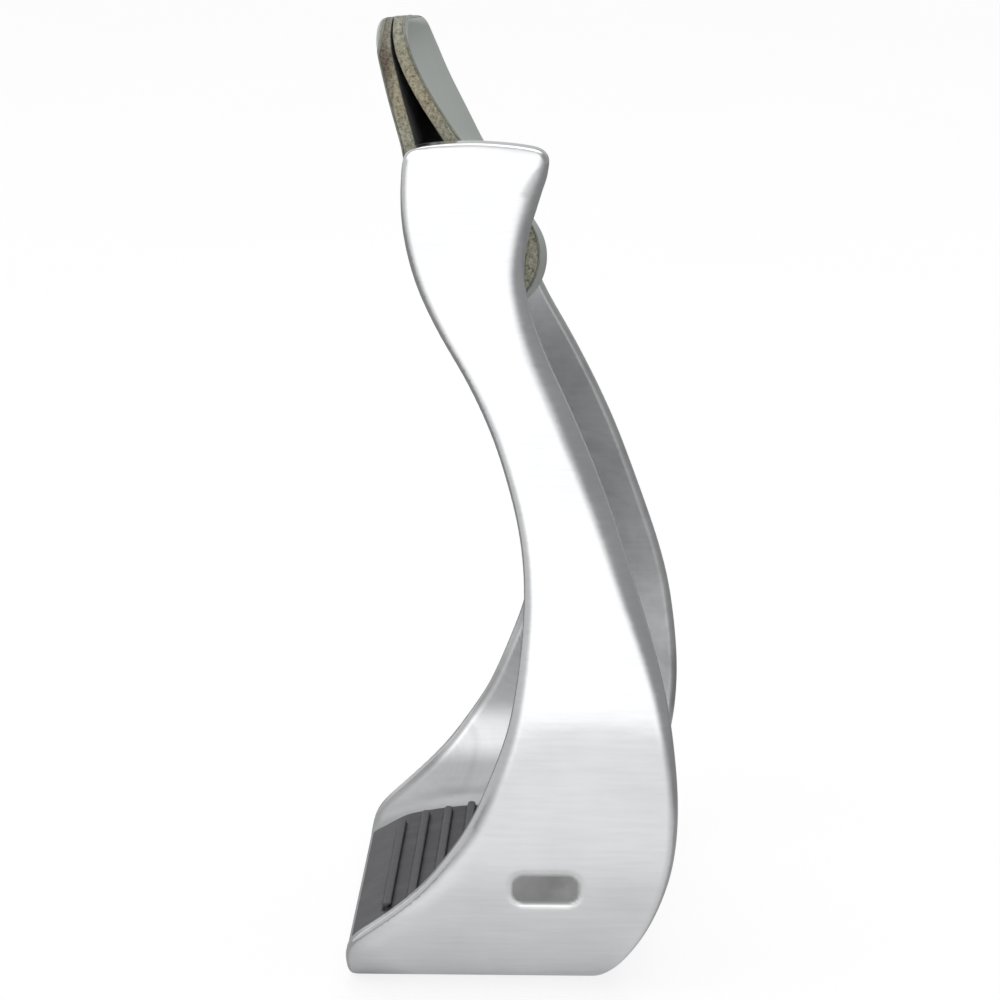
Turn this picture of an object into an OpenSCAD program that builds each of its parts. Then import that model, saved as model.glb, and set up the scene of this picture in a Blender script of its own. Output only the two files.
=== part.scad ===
// Western stirrup: a cast, polished aluminium frame with a swept, crooked pair
// of legs and a canted neck.  A leather-wrapped roller turns on a bolt across
// the neck, and a ribbed rubber pad is screwed to the crowned tread from below.
// Millimetres.  +X is the toe side, -Y the outer leg, +Z up.
// Origin: centre of the footprint box, on the surface that the tread rests on.

/* [Frame] */
// Height of the taller (outer) head above the ground
frame_h = 178.7; // [172:0.1:186]
// Depth of the legs and tread, back to front
frame_d = 70; // [66:0.5:76]
// Greatest width across the outside of the legs
frame_w = 133; // [131:0.5:139]
// Thickness of the legs
leg_t = 6.2; // [5.4:0.1:7]
// Height of the tread at its back and front edges
tread_edge_h = 9; // [8.4:0.1:10]
// Rise of the crowned tread from its edge to its middle
tread_crown = 5; // [4:0.1:5.4]

/* [Neck] */
// Slope of the neck bolt, falling towards the inner leg, in degrees
neck_tilt = 9.2; // [8.6:0.1:9.8]
// Distance between the boss faces that hold the roller
boss_gap = 63.8; // [63.4:0.1:64.4]
// Diameter of the neck bolt
bolt_d = 8; // [7:0.5:9]
// Diameter of the roller sleeve
roller_d = 18.6; // [18:0.1:19]
// Bore of the roller sleeve
roller_bore = 14; // [13:0.5:15]

/* [Leather] */
// Width of the leather across the neck
leather_w = 62.4; // [58:0.2:62.6]
// Thickness of the leather core
core_t = 2.6; // [2:0.1:2.8]
// Thickness of the smooth facing on its outside
facing_t = 0.5; // [0.4:0.1:1]

/* [Tread pad] */
// Length of the pad across the tread
pad_l = 85; // [80:1:86]
// Width of the pad, back to front
pad_w = 57.8; // [54:0.1:58]
// Thickness of the pad between its ribs
pad_t = 2.2; // [1.8:0.1:2.6]
// Number of ribs
rib_n = 9; // [7:1:9]
// Height of the ribs
rib_h = 1.4; // [1:0.1:1.8]
// Width of a rib
rib_w = 2; // [1.6:0.1:2.4]

/* [Hidden] */

kx = frame_d/70;
ky = frame_w/133;
kz = frame_h/178.7;

bar_x = -6.9;                 // axis of the neck bolt at mid width
bar_z = 149.7*kz;
pad_x = -5.3;                 // middle of the pad, back to front
rib_x = -6.5;                 // the middle rib
rib_pitch = 5.15;
rib_half = [34.3, 37.8, 38.6, 41];   // half lengths of the ribs, from each edge inwards
boss_r = 8;
run = 0.05;                   // radial clearance of a running fit
leather_clear = 0.1;          // roller to leather
seat_y = 39.6;                // spot face under the bolt's washer
blind_y = -38.2;              // end of the tapped hole in the outer cheek
peg_x = [-18.6, 3.0];
peg_y = [-27, 27];
peg_r = 5;
peg_l = 6;

// ---- smooth curves through hand-set points -------------------------------

// Catmull-Rom point between p[i] and p[i+1]
function cr1(a, b, c, d, t) = 0.5*((2*b) + (c - a)*t + (2*a - 5*b + 4*c - d)*t*t + (3*b - a - 3*c + d)*t*t*t);
function at(p, i) = p[max(0, min(len(p) - 1, i))];
function curve(p, n) = [for (i = [0 : len(p) - 2]) for (k = [0 : n - 1]) cr1(at(p, i - 1), p[i], p[i + 1], at(p, i + 2), k/n), p[len(p) - 1]];
function rev(p) = [for (i = [len(p) - 1 : -1 : 0]) p[i]];
function smooth(u) = let (v = max(0, min(1, u))) v*v*(3 - 2*v);

// ---- frame, seen from the side: [x, z] -----------------------------------

back_pts = [[-33.2, 0], [-34.6, 1.2], [-35, 3.2], [-35, 9.6], [-34, 12.2], [-30.8, 15], [-24.7, 20],
    [-18.4, 26], [-13.7, 32], [-8.4, 40], [-4, 50], [-0.4, 60], [1.5, 70], [2.6, 80], [2.9, 90],
    [1.8, 100], [-0.8, 110], [-4.4, 120], [-9.4, 130], [-15.5, 140], [-20.3, 150], [-22.9, 160],
    [-23.5, 168], [-23.2, 174]];
front_pts = [[18, 0], [20.2, 2], [22.7, 6], [25.2, 10], [28.1, 15], [30.4, 20], [32.6, 26], [34.1, 32],
    [34.9, 39], [35, 46], [34.3, 55], [32.9, 65], [30.5, 75], [27.4, 85], [24.1, 95], [20.6, 105],
    [16.5, 115], [11.9, 125], [7, 135], [3.6, 144], [2.2, 152], [3.3, 160], [5.2, 166], [7, 172]];
head_pts = [[7.5, 174.8], [6.6, 176.7], [4.4, 177.6], [-0.7, 178.3], [-6.9, 178.7], [-13.1, 178.6],
    [-19.4, 178], [-21.6, 177.3], [-22.8, 176]];

side_raw = concat(curve(front_pts, 2), head_pts, rev(curve(back_pts, 2)));
outer_side = [for (p = side_raw) [p[0]*kx, p[1]*kz]];

// The inner leg is the same casting profile, a little lower at the top and
// with a slightly narrower head.
function drop(z) = 0.015*max(0, z - 15) + 9*smooth((z - 128)/50);
inner_side = [for (p = side_raw)
    [(p[0] - (p[0] > -7 ? 1.8*smooth((p[1] - 150)/15) : 0))*kx, (p[1] - drop(p[1]))*kz]];

// ---- frame, seen from the front: half width and height -------------------

foot_pts = [[35, 0], [43, 1.6], [51, 5.8], [57.4, 12], [62, 20], [65.1, 30], [66.5, 42], [66.4, 53],
    [65.2, 66], [62, 80], [59, 90], [55.8, 100], [52.2, 110]];
near_top = [[48.7, 120], [45.4, 130], [42.6, 140], [40.4, 150], [38.6, 160], [37, 170], [35, 182]];
far_top = [[48.2, 120], [44, 130], [41, 138], [39.7, 146], [40.9, 155], [43.2, 170]];

// the inside surface, where it leaves the flat under the crown
foot_in = [[40, 7.6], [46, 9.6], [51, 14.4], [55, 21.4], [58.2, 31], [60.3, 42], [60.2, 53],
    [59, 66], [55.8, 80], [52.8, 90], [49.6, 100], [46, 110]];
near_in = [[42.5, 120], [39.2, 130], [36.4, 140], [34.2, 150], [32.4, 160], [30.8, 170], [28.8, 182]];
far_in = [[42, 120], [37.8, 130], [34.8, 138], [33.5, 146], [34.7, 155], [37, 170]];

dt = leg_t - 6.2;
function out_y(p) = [for (q = p) [q[0]*ky, q[1]*kz]];
function in_y(p) = [for (q = p) [q[0]*ky - dt, q[1]*kz]];
function mirror_y(p) = [for (q = p) [-q[0], q[1]]];

ring = concat(
    rev(mirror_y(out_y(curve(concat(foot_pts, near_top), 2)))),
    out_y(curve(concat(foot_pts, far_top), 2)),
    rev(in_y(curve(concat(foot_in, far_in), 2))),
    mirror_y(in_y(curve(concat(foot_in, near_in), 2))));

// ---- crown of the tread --------------------------------------------------

crown_x0 = -35;
crown_x1 = 24.4;
function crown(x) = let (m = (crown_x0 + crown_x1)/2, h = (crown_x1 - crown_x0)/2, u = (x - m)/h)
    tread_edge_h + tread_crown*(1 - u*u);
function crown_line(x0, x1, n, lift) = [for (i = [0 : n]) let (x = x0 + (x1 - x0)*i/n) [x, crown(x) + lift]];

// a [x, z] outline drawn out along Y
module along_y(length, pts) {
    rotate([90, 0, 0]) linear_extrude(height = length, center = true) polygon(pts);
}
// the same, from y0 to y1
module between_y(y0, y1, pts) {
    translate([0, y1, 0]) rotate([90, 0, 0]) linear_extrude(height = y1 - y0) polygon(pts);
}
// the frame of the neck: origin on the bolt axis at mid width, +Y along it
module neck() {
    translate([bar_x, 0, bar_z]) rotate([-neck_tilt, 0, 0]) children();
}
// a cylinder along the bolt from y0 to y1
module pin_y(y0, y1, r) {
    translate([0, y1, 0]) rotate([90, 0, 0]) cylinder(h = y1 - y0, r = r, $fn = 64);
}
module tube_y(y0, y1, r, bore) {
    difference() { pin_y(y0, y1, r); pin_y(y0 - 1, y1 + 1, bore); }
}

// ---- the leather loop, seen along the bolt: [x, z] about the bolt axis ----

leather_t = core_t + facing_t;
loop_r = roller_d/2 + leather_clear + leather_t/2;       // its centre line on the roller
back_ply = [[-20.6, 49.5], [-20.8, 46], [-20.4, 42], [-19.5, 38], [-18.3, 33.2], [-16.9, 28.2], [-15.4, 23]];
front_ply = [[-6.3, 24], [-8.9, 28], [-11.5, 32], [-13.8, 36], [-15.7, 40], [-16.9, 43.5], [-17.3, 46.5], [-17.3, 49.7]];
function tangent_to(p, side) = atan2(p[1], p[0]) + side*acos(loop_r/norm(p));
arc_a = tangent_to(back_ply[6], 1);                       // where the back ply meets the roller
arc_b = tangent_to(front_ply[0], -1) + 360;               // where the front ply leaves it
loop_path = concat(curve(back_ply, 2),
    [for (i = [0 : 36]) let (a = arc_a + (arc_b - arc_a)*i/36) [loop_r*cos(a), loop_r*sin(a)]],
    curve(front_ply, 2));
function unit(v) = v/norm(v);
// outward normal at each point of the loop
function out_n(i) = let (d = unit(at(loop_path, i + 1) - at(loop_path, i - 1))) [d[1], -d[0]];
function side_of(off) = [for (i = [0 : len(loop_path) - 1]) loop_path[i] + off*out_n(i)];
module loop(lo, hi, w) { along_y(w, concat(side_of(lo), rev(side_of(hi)))); }

// ---- parts ---------------------------------------------------------------

module stirrup_frame() {
    color([0.82, 0.83, 0.85]) difference() {
        union() {
            intersection() {
                rotate([90, 0, 90]) linear_extrude(height = 120, center = true) polygon(ring);
                union() {
                    between_y(-90, 0.001, outer_side);
                    between_y(0, 90, inner_side);
                }
            }
            // crown of the tread, kept inside the side profile
            intersection() {
                along_y(2*51*ky, concat([[crown_x1, 6.8], [crown_x0, 6.8]], crown_line(crown_x0, crown_x1, 24, 0)));
                between_y(-60, 60, outer_side);
            }
            // bosses that carry the bolt, inside the cheeks
            neck() {
                pin_y(-35.5, -boss_gap/2, boss_r);
                pin_y(boss_gap/2, 38.6, boss_r);
            }
        }
        // blind tapped hole in the outer cheek, clearance hole and spot face in the inner one
        neck() {
            pin_y(blind_y, -boss_gap/2 + 1, bolt_d/2);
            pin_y(boss_gap/2 - 1, seat_y + 1, bolt_d/2 + 0.2);
            pin_y(seat_y, seat_y + 20, 9.2);
        }
        // sockets for the pegs of the pad, and stepped holes for its screws
        for (x = peg_x, y = peg_y) translate([x, y, 0]) {
            translate([0, 0, crown(x) - peg_l - 0.3]) cylinder(h = peg_l + 4, r = peg_r + 0.05, $fn = 48);
            translate([0, 0, -1]) cylinder(h = 12, r = 2.25, $fn = 32);
            translate([0, 0, -1]) cylinder(h = 1 + 4.2, r = 4.2, $fn = 40);
        }
    }
}

module pad_outline() {
    r = 1.6;
    translate([pad_x, 0]) difference() {
        square([pad_w, pad_l], center = true);
        for (sx = [-1, 1], sy = [-1, 1]) translate([sx*pad_w/2, sy*pad_l/2]) difference() {
            square([2*r, 2*r], center = true);
            translate([-sx*r, -sy*r]) circle(r = r, $fn = 48);
        }
    }
}

// thickness of the pad, which thins out to a lip at its back and front edges
function pad_lift(x) = 0.4 + (pad_t - 0.4)*smooth((pad_w/2 - abs(x - pad_x))/9);

module tread_pad() {
    x0 = pad_x - pad_w/2;
    x1 = pad_x + pad_w/2;
    color([0.27, 0.27, 0.29]) difference() {
        union() {
            intersection() {
                along_y(pad_l + 10, concat(crown_line(x0 - 0.4, x1 + 0.4, 32, 0.02),
                    [for (i = [32 : -1 : 0]) let (x = x0 - 0.4 + (x1 - x0 + 0.8)*i/32) [x, crown(x) + pad_lift(x)]]));
                linear_extrude(height = 40) pad_outline();
            }
            // ribs with rounded ends, standing on the pad
            for (i = [0 : rib_n - 1]) {
                x = rib_x + (i - (rib_n - 1)/2)*rib_pitch;
                l = 2*rib_half[min(i, rib_n - 1 - i, 3)];
                translate([x, 0, crown(x) + pad_lift(x) - 0.9]) {
                    translate([-rib_w/2, -l/2 + rib_w/2, 0]) cube([rib_w, l - rib_w, rib_h + 0.9]);
                    for (s = [-1, 1]) translate([0, s*(l - rib_w)/2, 0]) cylinder(h = rib_h + 0.9, r = rib_w/2, $fn = 24);
                }
            }
            // moulded pegs
            for (x = peg_x, y = peg_y) translate([x, y, crown(x) - peg_l]) cylinder(h = peg_l + 1, r = peg_r, $fn = 48);
        }
        for (x = peg_x, y = peg_y) translate([x, y, crown(x) - peg_l - 1]) cylinder(h = 6.2, r = 3.5, $fn = 40);
    }
}

// threaded inserts moulded into the pegs
module pad_inserts() {
    color([0.72, 0.58, 0.30]) for (x = peg_x, y = peg_y) translate([x, y, crown(x) - peg_l]) difference() {
        cylinder(h = 5.2, r = 3.5, $fn = 40);
        translate([0, 0, -1]) cylinder(h = 8, r = 2, $fn = 32);
    }
}

// screws driven up through the tread
module pad_screws() {
    color([0.45, 0.46, 0.48]) for (x = peg_x, y = peg_y) translate([x, y, 0]) difference() {
        union() {
            translate([0, 0, 4.2]) cylinder(h = crown(x) - peg_l + 4.6 - 4.2, r = 2, $fn = 32);
            translate([0, 0, 1.8]) cylinder(h = 2.4, r = 3.6, $fn = 40);
        }
        translate([0, 0, 1]) cylinder(h = 2.2, r = 1.45, $fn = 6);
    }
}

module neck_bolt() {
    color([0.66, 0.67, 0.70]) neck() difference() {
        union() {
            pin_y(blind_y + 0.4, seat_y + 2, bolt_d/2);
            translate([0, seat_y + 1.6, 0]) rotate([-90, 0, 0]) rotate_extrude($fn = 64)
                polygon([[0, 0], [7, 0], [7, 1.2], [6.6, 2.4], [5.8, 3.4], [4.6, 4.1], [3.6, 4.4], [0, 4.4]]);
        }
        translate([0, seat_y + 3.4, 0]) rotate([-90, 0, 0]) cylinder(h = 4, r = 2.9, $fn = 6);
    }
}

module bolt_washer() {
    color([0.74, 0.75, 0.77]) neck() tube_y(seat_y, seat_y + 1.6, 8.6, bolt_d/2 + 0.2);
}

module roller_sleeve() {
    color([0.62, 0.64, 0.66]) neck() tube_y(-boss_gap/2 + 1.3, boss_gap/2 - 1.3, roller_d/2, roller_bore/2);
}

// flanged bush, s = -1 on the outer side and +1 on the inner side
module bush(s) {
    e = boss_gap/2;
    color([0.90, 0.89, 0.84]) neck() difference() {
        union() {
            if (s < 0) { pin_y(-e + 0.05, -e + 1.25, 9.2); pin_y(-e + 1, -e + 12, roller_bore/2 - 0.01); }
            else { pin_y(e - 1.25, e - 0.05, 9.2); pin_y(e - 12, e - 1, roller_bore/2 - 0.01); }
        }
        pin_y(-e - 2, e + 2, bolt_d/2 + run);
    }
}
module roller_bush_outer() { bush(-1); }
module roller_bush_inner() { bush(1); }

module neck_leather() {
    color([0.55, 0.53, 0.42]) neck() loop(-leather_t/2, leather_t/2 - facing_t - 0.01, leather_w);
}

module leather_facing() {
    color([0.63, 0.66, 0.64]) neck() loop(leather_t/2 - facing_t + 0.01, leather_t/2, leather_w);
}

stirrup_frame();
tread_pad();
pad_inserts();
pad_screws();
neck_bolt();
bolt_washer();
roller_sleeve();
roller_bush_outer();
roller_bush_inner();
neck_leather();
leather_facing();
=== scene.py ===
import math

import bpy
import numpy as np
from mathutils import Matrix, Vector


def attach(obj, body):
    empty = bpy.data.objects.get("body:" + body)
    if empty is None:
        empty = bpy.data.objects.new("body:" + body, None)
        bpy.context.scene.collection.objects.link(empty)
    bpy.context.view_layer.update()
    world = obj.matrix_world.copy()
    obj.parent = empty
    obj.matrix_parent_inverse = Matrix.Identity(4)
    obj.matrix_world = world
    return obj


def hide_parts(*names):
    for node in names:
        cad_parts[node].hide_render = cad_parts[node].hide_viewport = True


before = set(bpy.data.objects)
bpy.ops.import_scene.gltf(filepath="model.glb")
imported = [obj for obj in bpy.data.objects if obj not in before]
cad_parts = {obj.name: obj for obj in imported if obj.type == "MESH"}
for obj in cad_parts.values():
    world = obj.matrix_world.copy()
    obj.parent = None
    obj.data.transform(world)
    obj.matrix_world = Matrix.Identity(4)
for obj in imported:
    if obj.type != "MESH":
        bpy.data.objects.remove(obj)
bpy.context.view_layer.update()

scene = bpy.context.scene
rng = np.random.default_rng(7)

# ---------------------------------------------------------------- camera
TARGET = Vector((-0.0039, 0.0, 0.0960))
DIST, ELEV, AZIM = 1.100, math.radians(11.7), math.radians(1.85)
back = Vector((math.sin(AZIM) * math.cos(ELEV), -math.cos(AZIM) * math.cos(ELEV), math.sin(ELEV)))
cam_data = bpy.data.cameras.new("camera")
cam_data.sensor_width = 36.0
cam_data.lens = 36.0 * 4.6 * DIST
cam_data.clip_start, cam_data.clip_end = 0.05, 60.0
cam = bpy.data.objects.new("camera", cam_data)
scene.collection.objects.link(cam)
cam.location = TARGET + back * DIST
cam.rotation_mode = "QUATERNION"
cam.rotation_quaternion = (-back).to_track_quat("-Z", "Y")
scene.camera = cam
scene.view_settings.view_transform = "Standard"
scene.view_settings.look = "None"

# ---------------------------------------------------------------- 2-D curves, in mm, as in the CAD source
def cr_curve(p, n):
    p = np.array(p, float)
    m = len(p)
    g = lambda i: p[max(0, min(m - 1, i))]
    out = []
    for i in range(m - 1):
        a, b, c, d = g(i - 1), g(i), g(i + 1), g(i + 2)
        for k in range(n):
            t = k / n
            out.append(0.5 * (2 * b + (c - a) * t + (2 * a - 5 * b + 4 * c - d) * t * t + (3 * b - a - 3 * c + d) * t ** 3))
    out.append(p[-1])
    return np.array(out)


def resample(p, step, closed=False):
    p = np.asarray(p, float)
    if closed:
        p = np.vstack([p, p[:1]])
    seg = np.linalg.norm(np.diff(p, axis=0), axis=1)
    keep = np.r_[True, seg > 1e-9]
    p = p[keep]
    s = np.r_[0, np.cumsum(np.linalg.norm(np.diff(p, axis=0), axis=1))]
    n = max(2, int(round(s[-1] / step)))
    t = np.linspace(0, s[-1], n + 1)
    q = np.stack([np.interp(t, s, p[:, k]) for k in range(p.shape[1])], 1)
    return q[:-1] if closed else q


def soften(p, sigma, step):
    """Gaussian smoothing along a resampled open curve; its ends stay put."""
    q = resample(p, step)
    r = int(3 * sigma / step)
    w = np.exp(-0.5 * (np.arange(-r, r + 1) * step / sigma) ** 2)
    w /= w.sum()
    head = 2 * q[0] - q[1 : r + 1][::-1]
    tail = 2 * q[-1] - q[-r - 1 : -1][::-1]
    e = np.vstack([head, q, tail])
    return np.stack([np.convolve(e[:, k], w, mode="valid") for k in range(q.shape[1])], 1)


def smoothstep(u):
    v = np.clip(u, 0, 1)
    return v * v * (3 - 2 * v)


BACK = [(-35, -22), (-35, -8), (-35, 0), (-35, 3.2), (-35, 6.5), (-35, 9.6), (-34, 12.2), (-30.8, 15), (-24.7, 20),
        (-18.4, 26), (-13.7, 32), (-8.4, 40), (-4, 50), (-0.4, 60), (1.5, 70), (2.6, 80), (2.9, 90),
        (1.8, 100), (-0.8, 110), (-4.4, 120), (-9.4, 130), (-15.5, 140), (-20.3, 150), (-22.9, 160),
        (-23.5, 168), (-23.2, 174)]
FRONT = [(2.3, -22), (10.2, -10), (18, 0), (20.2, 2.8), (22.7, 6), (25.2, 10), (28.1, 15), (30.4, 20), (32.6, 26),
         (34.1, 32), (34.9, 39), (35, 46), (34.3, 55), (32.9, 65), (30.5, 75), (27.4, 85), (24.1, 95), (20.6, 105),
         (16.5, 115), (11.9, 125), (7, 135), (3.6, 144), (2.2, 152), (3.3, 160), (5.2, 166), (7, 172)]
HEAD = [(7.0, 172), (7.5, 174.8), (6.6, 176.7), (4.4, 177.6), (-0.7, 178.3), (-6.9, 178.7), (-13.1, 178.6),
        (-19.4, 178), (-21.6, 177.3), (-22.8, 176), (-23.2, 174)]


def drop(z):
    return 0.015 * np.maximum(0, z - 15) + 9 * smoothstep((z - 128) / 50)


def side_outline(far):
    b = soften(cr_curve(BACK, 8), 2.2, 0.4)
    f = soften(cr_curve(FRONT, 8), 2.6, 0.4)
    h = soften(cr_curve(HEAD, 8), 0.7, 0.3)
    p = np.vstack([f, h[1:-1], b[::-1]])
    if far:
        x, z = p[:, 0].copy(), p[:, 1].copy()
        x = x - 1.8 * smoothstep((x + 12) / 8) * smoothstep((z - 150) / 15)
        p = np.stack([x, z - drop(z)], 1)
    return resample(p, 0.7, closed=True)


FOOT = [(35, 0), (43, 1.6), (51, 5.8), (57.4, 12), (62, 20), (65.1, 30), (66.5, 42), (66.4, 53),
        (65.2, 66), (62, 80), (59, 90), (55.8, 100), (52.2, 110)]
NEAR_TOP = [(48.7, 120), (45.4, 130), (42.6, 140), (40.4, 150), (38.6, 160), (37, 170), (35, 182), (31, 206), (27, 230)]
FAR_TOP = [(48.2, 120), (44, 130), (41, 138), (39.7, 146), (40.9, 155), (43.2, 170), (48, 200), (52, 230)]
FOOT_IN = [(40, 7.0), (46, 9.2), (51, 14.4), (55, 21.4), (58.2, 31), (60.3, 42), (60.2, 53),
           (59, 66), (55.8, 80), (52.8, 90), (49.6, 100), (46, 110)]
NEAR_IN = [(42.5, 120), (39.2, 130), (36.4, 140), (34.2, 150), (32.4, 160), (30.8, 170), (28.8, 182), (25, 206), (21, 230)]
FAR_IN = [(42, 120), (37.8, 130), (34.8, 138), (33.5, 146), (34.7, 155), (37, 170), (42, 200), (46, 230)]


def ring_outline(foot, near, far, flat):
    """One closed outline in (y, z): the near side mirrored to -y."""
    n = soften(cr_curve([(0, foot[0][1]), (flat * 0.6, foot[0][1])] + foot + near, 8), 2.4, 0.4)
    f = soften(cr_curve([(0, foot[0][1]), (flat * 0.6, foot[0][1])] + foot + far, 8), 2.4, 0.4)
    n[:, 0] *= -1
    return resample(np.vstack([n[::-1], f[1:]]), 0.7, closed=True)


def signed_distance(poly, gx, gz):
    """Signed distance to a closed outline on the grid gx x gz; negative inside."""
    X, Z = np.meshgrid(gx, gz, indexing="ij")
    X, Z = X.ravel(), Z.ravel()
    best = np.full(X.size, 1e9)
    inside = np.zeros(X.size, bool)
    a = poly
    b = np.roll(poly, -1, axis=0)
    for (ax, az), (bx, bz) in zip(a, b):
        ex, ez = bx - ax, bz - az
        px, pz = X - ax, Z - az
        t = np.clip((px * ex + pz * ez) / (ex * ex + ez * ez), 0, 1)
        dx, dz = px - t * ex, pz - t * ez
        np.minimum(best, dx * dx + dz * dz, out=best)
        if az != bz:
            cross = ((az > Z) != (bz > Z)) & (X < ax + (Z - az) * ex / ez)
            inside ^= cross
    d = np.sqrt(best)
    d[inside] *= -1
    return d.reshape(len(gx), len(gz))


class Table:
    """A smooth 2-D field on a regular grid, read by bicubic interpolation."""

    def __init__(self, field, x0, z0, h):
        k = np.array([1, 4, 6, 4, 1], float) / 16
        f = field
        for ax in (0, 1):
            pad = [(2, 2) if i == ax else (0, 0) for i in range(2)]
            e = np.pad(f, pad, mode="reflect", reflect_type="odd")
            f = sum(k[i] * np.take(e, np.arange(i, i + f.shape[ax]), axis=ax) for i in range(5))
        self.f, self.x0, self.z0, self.h = f, x0, z0, h

    def __call__(self, x, z):
        u, v = (x - self.x0) / self.h, (z - self.z0) / self.h
        i = np.clip(np.floor(u).astype(int), 1, self.f.shape[0] - 3)
        j = np.clip(np.floor(v).astype(int), 1, self.f.shape[1] - 3)
        s, t = u - i, v - j

        def w(q):
            return (-0.5 * q + q * q - 0.5 * q ** 3, 1 - 2.5 * q * q + 1.5 * q ** 3,
                    0.5 * q + 2 * q * q - 1.5 * q ** 3, -0.5 * q * q + 0.5 * q ** 3)

        ws, wt = w(s), w(t)
        out = 0
        for a in range(4):
            row = 0
            for b in range(4):
                row = row + wt[b] * self.f[i + a - 1, j + b - 1]
            out = out + ws[a] * row
        return out


def rmax(a, b, r):
    """Intersection of two solids with an edge rounded to radius r."""
    return np.minimum(np.maximum(a, b), -r) + np.sqrt(np.maximum(a + r, 0) ** 2 + np.maximum(b + r, 0) ** 2)


def smin(a, b, k):
    """Union of two solids with a soft fillet of size k."""
    h = np.clip(0.5 + 0.5 * (b - a) / k, 0, 1)
    return b * (1 - h) + a * h - k * h * (1 - h)


# ---------------------------------------------------------------- surface extraction
def surface_nets(f, lo, h):
    """Quads of the zero surface of f on a grid, one vertex for each cell that the surface crosses."""
    s = f < 0
    c = np.zeros(tuple(n - 1 for n in f.shape), np.uint8)
    corners = [(i, j, k) for i in (0, 1) for j in (0, 1) for k in (0, 1)]
    sh = c.shape
    for i, j, k in corners:
        c += s[i : i + sh[0], j : j + sh[1], k : k + sh[2]]
    act = (c > 0) & (c < 8)
    I, J, K = np.nonzero(act)
    n = len(I)
    vid = np.full(sh, -1, np.int32)
    vid[I, J, K] = np.arange(n)
    val = {q: f[I + q[0], J + q[1], K + q[2]].astype(float) for q in corners}
    acc, cnt = np.zeros((n, 3)), np.zeros(n)
    for a in corners:
        for ax in range(3):
            if a[ax] == 0:
                b = tuple(1 if m == ax else a[m] for m in range(3))
                fa, fb = val[a], val[b]
                hit = (fa < 0) != (fb < 0)
                t = np.where(hit, fa / np.where(hit, fa - fb, 1), 0)
                p = np.tile(np.array(a, float), (n, 1))
                p[:, ax] += t
                acc[hit] += p[hit]
                cnt[hit] += 1
    v = (np.stack([I, J, K], 1) + acc / cnt[:, None]) * h + np.asarray(lo)
    quads = []
    for ax in range(3):
        u, w = [(1, 2), (2, 0), (0, 1)][ax]
        a = [slice(None)] * 3
        b = [slice(None)] * 3
        a[ax], b[ax] = slice(0, -1), slice(1, None)
        sa, sb = s[tuple(a)], s[tuple(b)]
        e = np.argwhere(sa != sb)
        e = e[(e[:, u] > 0) & (e[:, w] > 0) & (e[:, u] < f.shape[u] - 1) & (e[:, w] < f.shape[w] - 1)]
        flip = ~sa[e[:, 0], e[:, 1], e[:, 2]]
        q = []
        for du, dw in ((-1, -1), (0, -1), (0, 0), (-1, 0)):
            m = e.copy()
            m[:, u] += du
            m[:, w] += dw
            q.append(vid[m[:, 0], m[:, 1], m[:, 2]])
        q = np.stack(q, 1)
        q[flip] = q[flip][:, ::-1]
        quads.append(q)
    return v, np.vstack(quads)


def gradient(F, p, e=0.05):
    g = np.empty_like(p)
    for k in range(3):
        d = np.zeros(3)
        d[k] = e
        g[:, k] = (F(p + d) - F(p - d)) / (2 * e)
    return g


def fit_to(F, v, quads, h, relax=2, steps=2):
    """Moves the vertices onto the surface of F, evening them out along it."""
    edges = np.vstack([quads[:, [0, 1]], quads[:, [1, 2]], quads[:, [2, 3]], quads[:, [3, 0]]])
    deg = np.bincount(edges.ravel(), minlength=len(v)).astype(float)

    def project(v):
        g = gradient(F, v)
        m = F(v) / np.maximum((g * g).sum(1), 0.2)
        step = g * m[:, None]
        ln = np.linalg.norm(step, axis=1)
        return v - step * np.minimum(1, 0.5 * h / np.maximum(ln, 1e-9))[:, None]

    for _ in range(steps):
        v = project(v)
    for _ in range(relax):
        acc = np.zeros_like(v)
        for a, b in ((0, 1), (1, 0)):
            for k in range(3):
                acc[:, k] += np.bincount(edges[:, a], weights=v[edges[:, b], k], minlength=len(v))
        mean = acc / deg[:, None]
        g = gradient(F, v)
        nrm = g / np.maximum(np.linalg.norm(g, axis=1), 1e-6)[:, None]
        d = mean - v
        d -= nrm * (d * nrm).sum(1)[:, None]
        v = project(v + 0.6 * d)
    v = project(v)
    g = gradient(F, v)
    return v, g / np.maximum(np.linalg.norm(g, axis=1), 1e-6)[:, None]


def make_mesh(name, v_mm, faces, normals=None, smooth=True):
    me = bpy.data.meshes.new(name)
    me.from_pydata((np.asarray(v_mm, float) / 1000).tolist(), [], [list(map(int, f)) for f in faces])
    me.validate()
    me.update()
    if smooth:
        me.polygons.foreach_set("use_smooth", np.ones(len(me.polygons), bool))
    if normals is not None and len(me.vertices) == len(normals):
        me.normals_split_custom_set_from_vertices(np.asarray(normals, float).tolist())
    ob = bpy.data.objects.new(name, me)
    scene.collection.objects.link(ob)
    return ob


def sdf_piece(name, F, lo, hi, h, grid=None, relax=2, normals=True):
    n = [int(math.ceil((hi[k] - lo[k]) / h)) + 1 for k in range(3)]
    ax = [lo[k] + h * np.arange(n[k]) for k in range(3)]
    f = grid(ax) if grid is not None else F(np.stack(np.meshgrid(*ax, indexing="ij"), -1).reshape(-1, 3)).reshape(n)
    v, q = surface_nets(f, lo, h)
    v, nrm = fit_to(F, v, q, h, relax=relax)
    return make_mesh(name, v, q, nrm if normals else None)


# ---------------------------------------------------------------- the neck's own frame
BAR = np.array([-6.9, 0.0, 149.7])
TH = math.radians(9.2)
AY = np.array([0.0, math.cos(TH), -math.sin(TH)])
AZ = np.array([0.0, math.sin(TH), math.cos(TH)])


def from_neck(p):
    p = np.asarray(p, float)
    return BAR + p[..., 0:1] * np.array([1.0, 0, 0]) + p[..., 1:2] * AY + p[..., 2:3] * AZ


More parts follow.
